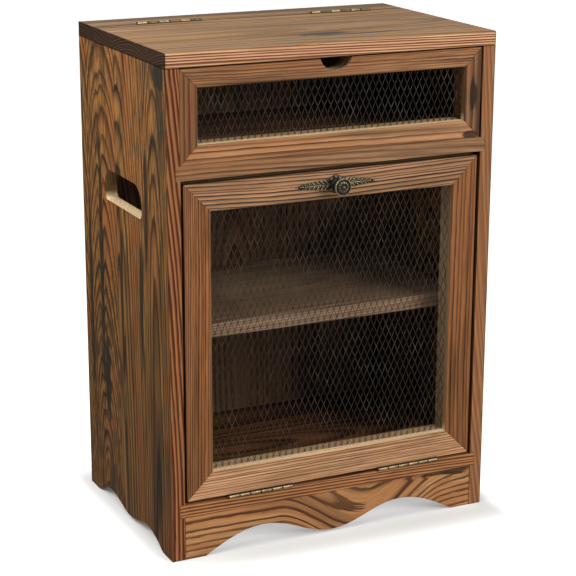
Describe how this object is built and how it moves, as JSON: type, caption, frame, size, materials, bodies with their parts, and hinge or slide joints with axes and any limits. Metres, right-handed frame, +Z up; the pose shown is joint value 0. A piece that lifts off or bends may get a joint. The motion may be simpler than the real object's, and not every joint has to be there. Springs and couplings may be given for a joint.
{
  "type": "tilt out vegetable bin cabinet",
  "caption": "Free-standing wooden vegetable cabinet with a lift-up lid over a mesh-fronted bin, a bottom-hinged mesh door, an inner shelf, side hand slots and scalloped feet.",
  "frame": {"origin": "on the ground, in the middle of the object's outline, knob included", "axes": "+Z up, +X to the right across the front, the front faces -Y"},
  "size_m": [0.4, 0.286, 0.5729],
  "materials": {
    "burnt_pine_side": "burnt and brushed, satin",
    "burnt_pine_front": "burnt and brushed, satin",
    "burnt_pine_lid": "burnt and brushed, satin",
    "raw_pine": "planed, unfinished",
    "dark_mesh": "satin lacquer",
    "hinge_brass": "brass-plated, pressed",
    "screw_brass": "brass-plated",
    "antique_bronze": "antiqued, darkened in the recesses",
    "catch_plastic": "moulded",
    "zinc_steel": "zinc-plated"
  },
  "bodies": {
    "cabinet": {"left_side": "burnt_pine_side", "right_side": "burnt_pine_side", "floor_board": "burnt_pine_front", "divider_board": "burnt_pine_front", "inner_shelf": "raw_pine", "back_panel": "burnt_pine_side", "back_strip": "burnt_pine_lid", "front_apron": "burnt_pine_front", "strip_dowels": "raw_pine", "apron_dowels": "raw_pine", "window_top_rail": "burnt_pine_front", "window_bottom_rail": "burnt_pine_front", "window_left_stile": "burnt_pine_front", "window_right_stile": "burnt_pine_front", "window_mesh": "dark_mesh", "window_backing_top": "raw_pine", "window_backing_bottom": "raw_pine", "window_backing_left": "raw_pine", "window_backing_right": "raw_pine", "lid_hinge_left_strip_leaf": "hinge_brass", "lid_hinge_left_pin": "hinge_brass", "lid_hinge_right_strip_leaf": "hinge_brass", "lid_hinge_right_pin": "hinge_brass", "door_hinge_left_floor_leaf": "hinge_brass", "door_hinge_left_pin": "hinge_brass", "door_hinge_right_floor_leaf": "hinge_brass", "door_hinge_right_pin": "hinge_brass", "lid_hinge_strip_screws": "screw_brass", "door_hinge_floor_screws": "screw_brass", "catch_housing": "catch_plastic", "catch_magnet": "zinc_steel", "catch_screws": "zinc_steel"},
    "lid": {"lid_board": "burnt_pine_lid", "lid_hinge_left_lid_leaf": "hinge_brass", "lid_hinge_right_lid_leaf": "hinge_brass", "lid_hinge_lid_screws": "screw_brass"},
    "door": {"door_top_rail": "burnt_pine_front", "door_bottom_rail": "burnt_pine_front", "door_left_stile": "burnt_pine_front", "door_right_stile": "burnt_pine_front", "door_mesh": "dark_mesh", "door_backing_top": "raw_pine", "door_backing_bottom": "raw_pine", "door_backing_left": "raw_pine", "door_backing_right": "raw_pine", "door_hinge_left_door_leaf": "hinge_brass", "door_hinge_right_door_leaf": "hinge_brass", "door_hinge_door_screws": "screw_brass", "knob": "antique_bronze", "knob_plate": "antique_bronze", "knob_plate_pins": "antique_bronze", "knob_screw": "screw_brass", "strike_plate": "zinc_steel", "strike_screw": "zinc_steel"}
  },
  "joints": [
    {"name": "lid_hinge", "type": "hinge", "parent": "cabinet", "child": "lid", "pos_m": [0, 0.0918, 0.5706], "axis": [-1, 0, 0], "range_deg": [0, 110]},
    {"name": "door_hinge", "type": "hinge", "parent": "cabinet", "child": "door", "pos_m": [0, -0.1228, 0.0672], "axis": [1, 0, 0], "range_deg": [0, 95]}
  ]
}
